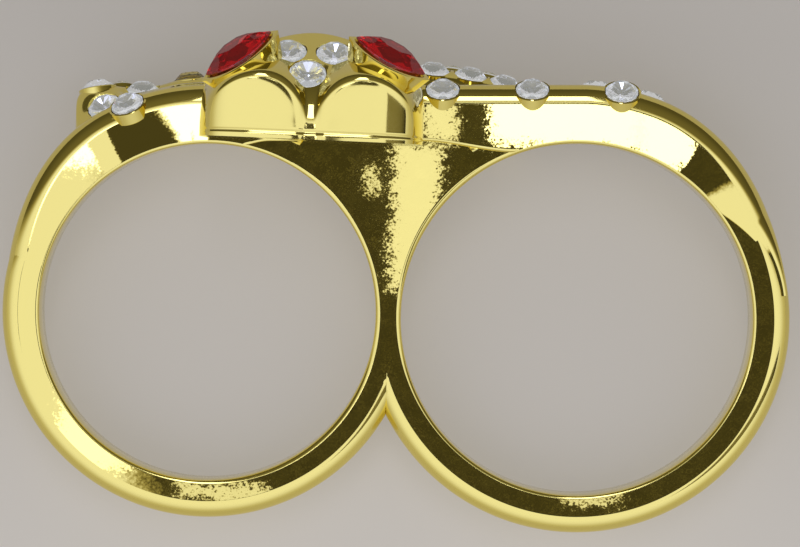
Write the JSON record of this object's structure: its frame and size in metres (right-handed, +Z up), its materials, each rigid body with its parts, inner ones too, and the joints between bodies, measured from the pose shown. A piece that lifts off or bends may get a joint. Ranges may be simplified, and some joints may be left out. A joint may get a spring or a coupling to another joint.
{
  "type": "two finger ring",
  "caption": "Ring worn over adjoining fingers, cast in one piece with a coiled serpent across its top, its eyes and body set with cut stones.",
  "frame": {"origin": "middle of the part's bounding box on the floor, with the ring lying on its side", "axes": "+X across the fingers, from the coil to the tail; +Y from the bottom of the bands towards the serpent; +Z up, towards the front of the ring"},
  "size_m": [0.0406, 0.0248, 0.0109],
  "materials": {
    "gold": "polished gold plate with a fine cast texture on the flat faces",
    "red_glass": "polished facets",
    "clear_crystal": "polished facets"
  },
  "bodies": {
    "root": {"ring_casting": "gold", "eye_left": "red_glass", "eye_right": "red_glass", "head_crystal_1": "clear_crystal", "head_crystal_2": "clear_crystal", "head_crystal_3": "clear_crystal", "body_crystal_1": "clear_crystal", "body_crystal_2": "clear_crystal", "body_crystal_3": "clear_crystal", "body_crystal_4": "clear_crystal", "body_crystal_5": "clear_crystal", "body_crystal_6": "clear_crystal", "body_crystal_7": "clear_crystal", "body_crystal_8": "clear_crystal", "body_crystal_9": "clear_crystal", "body_crystal_10": "clear_crystal", "body_crystal_11": "clear_crystal", "body_crystal_12": "clear_crystal", "body_crystal_13": "clear_crystal", "body_crystal_14": "clear_crystal", "body_crystal_15": "clear_crystal", "body_crystal_16": "clear_crystal"}
  },
  "joints": []
}
